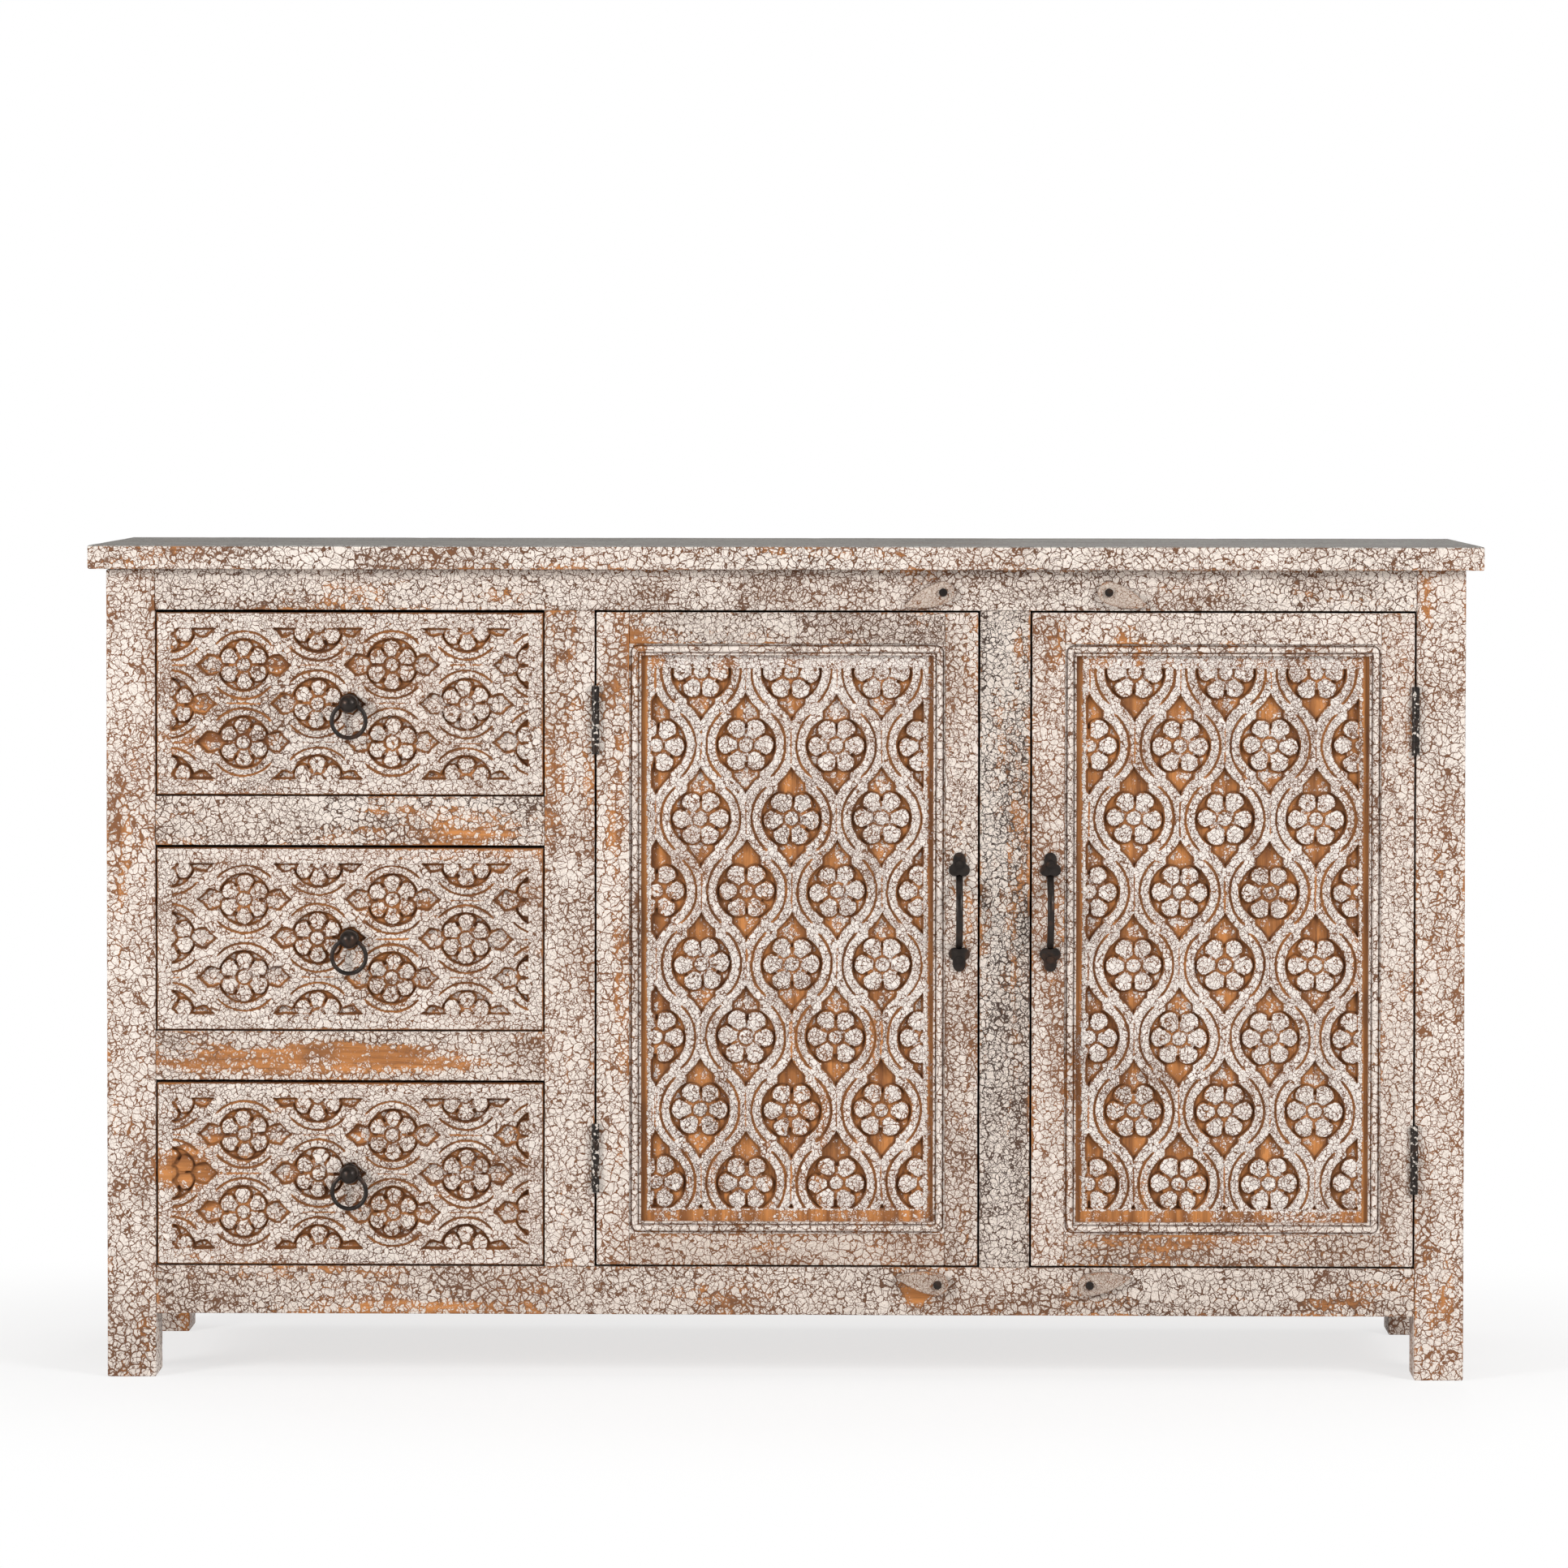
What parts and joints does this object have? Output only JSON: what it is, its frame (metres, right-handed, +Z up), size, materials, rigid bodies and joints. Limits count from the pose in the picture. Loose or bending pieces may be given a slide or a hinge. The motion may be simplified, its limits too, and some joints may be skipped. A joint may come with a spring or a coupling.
{
  "type": "sideboard",
  "caption": "Free-standing painted wooden sideboard with carved drawers, carved panelled doors, turn latches, bowed handles and ring pulls.",
  "frame": {"origin": "middle of the floor print, at the underside of the feet", "axes": "+X to the right seen from the front, +Y to the back, +Z up; the drawers and doors face -Y"},
  "size_m": [1.5, 0.412, 0.9],
  "materials": {
    "painted_wood": "crackled cream paint worn to brown wood",
    "raw_wood": "bare oiled hardwood",
    "iron": "blackened wrought iron",
    "dark_screws": "blackened steel"
  },
  "bodies": {
    "carcass": {"top_board": "painted_wood", "front_left_post": "painted_wood", "front_right_post": "painted_wood", "rear_left_post": "painted_wood", "rear_right_post": "painted_wood", "top_front_rail": "painted_wood", "bottom_front_rail": "painted_wood", "drawer_stile": "painted_wood", "centre_stile": "painted_wood", "upper_drawer_rail": "painted_wood", "lower_drawer_rail": "painted_wood", "left_side_rails": "painted_wood", "left_side_panel": "painted_wood", "right_side_rails": "painted_wood", "right_side_panel": "painted_wood", "rear_rails": "painted_wood", "back_panel": "raw_wood", "bottom_board": "raw_wood", "partition": "raw_wood", "shelf": "raw_wood", "shelf_cleats": "raw_wood", "drawer_runners": "raw_wood", "hinge_frame_leaves": "iron", "hinge_frame_screws": "dark_screws", "hinge_pins": "iron", "latch_screws": "dark_screws"},
    "upper_drawer": {"upper_drawer_front": "painted_wood", "upper_drawer_sides_and_back": "raw_wood", "upper_drawer_bottom": "raw_wood", "upper_pull_stud": "iron"},
    "upper_ring": {"upper_pull_ring": "iron"},
    "middle_drawer": {"middle_drawer_front": "painted_wood", "middle_drawer_sides_and_back": "raw_wood", "middle_drawer_bottom": "raw_wood", "middle_pull_stud": "iron"},
    "middle_ring": {"middle_pull_ring": "iron"},
    "lower_drawer": {"lower_drawer_front": "painted_wood", "lower_drawer_sides_and_back": "raw_wood", "lower_drawer_bottom": "raw_wood", "lower_pull_stud": "iron"},
    "lower_ring": {"lower_pull_ring": "iron"},
    "left_door": {"left_door_hinge_stile": "painted_wood", "left_door_closing_stile": "painted_wood", "left_door_rails": "painted_wood", "left_door_panel": "painted_wood", "left_door_handle": "iron", "left_door_hinge_leaves": "iron", "left_door_screws": "dark_screws"},
    "right_door": {"right_door_hinge_stile": "painted_wood", "right_door_closing_stile": "painted_wood", "right_door_rails": "painted_wood", "right_door_panel": "painted_wood", "right_door_handle": "iron", "right_door_hinge_leaves": "iron", "right_door_screws": "dark_screws"},
    "left_top_latch": {"left_top_latch": "painted_wood"},
    "right_top_latch": {"right_top_latch": "painted_wood"},
    "left_bottom_latch": {"left_bottom_latch": "painted_wood"},
    "right_bottom_latch": {"right_bottom_latch": "painted_wood"}
  },
  "joints": [
    {"name": "upper_drawer_slide", "type": "slide", "parent": "carcass", "child": "upper_drawer", "axis": [0, -1, 0], "range_m": [0, 0.26]},
    {"name": "upper_ring_swing", "type": "hinge", "parent": "upper_drawer", "child": "upper_ring", "pos_m": [-0.469, -0.19, 0.7295], "axis": [-1, 0, 0], "range_deg": [-15, 90]},
    {"name": "middle_drawer_slide", "type": "slide", "parent": "carcass", "child": "middle_drawer", "axis": [0, -1, 0], "range_m": [0, 0.26]},
    {"name": "middle_ring_swing", "type": "hinge", "parent": "middle_drawer", "child": "middle_ring", "pos_m": [-0.469, -0.19, 0.4755], "axis": [-1, 0, 0], "range_deg": [-15, 90]},
    {"name": "lower_drawer_slide", "type": "slide", "parent": "carcass", "child": "lower_drawer", "axis": [0, -1, 0], "range_m": [0, 0.26]},
    {"name": "lower_ring_swing", "type": "hinge", "parent": "lower_drawer", "child": "lower_ring", "pos_m": [-0.469, -0.19, 0.2215], "axis": [-1, 0, 0], "range_deg": [-15, 90]},
    {"name": "left_door_hinge", "type": "hinge", "parent": "carcass", "child": "left_door", "pos_m": [-0.204, -0.1786, 0.4755], "axis": [0, 0, -1], "range_deg": [0, 100]},
    {"name": "right_door_hinge", "type": "hinge", "parent": "carcass", "child": "right_door", "pos_m": [0.678, -0.1786, 0.4755], "axis": [0, 0, 1], "range_deg": [0, 100]},
    {"name": "left_top_latch_turn", "type": "hinge", "parent": "carcass", "child": "left_top_latch", "pos_m": [0.17, -0.181, 0.85], "axis": [0, -1, 0], "range_deg": [0, 140]},
    {"name": "right_top_latch_turn", "type": "hinge", "parent": "carcass", "child": "right_top_latch", "pos_m": [0.348, -0.181, 0.85], "axis": [0, 1, 0], "range_deg": [0, 140]},
    {"name": "left_bottom_latch_turn", "type": "hinge", "parent": "carcass", "child": "left_bottom_latch", "pos_m": [0.165, -0.181, 0.1035], "axis": [0, 1, 0], "range_deg": [0, 160]},
    {"name": "right_bottom_latch_turn", "type": "hinge", "parent": "carcass", "child": "right_bottom_latch", "pos_m": [0.329, -0.181, 0.1035], "axis": [0, -1, 0], "range_deg": [0, 160]}
  ]
}
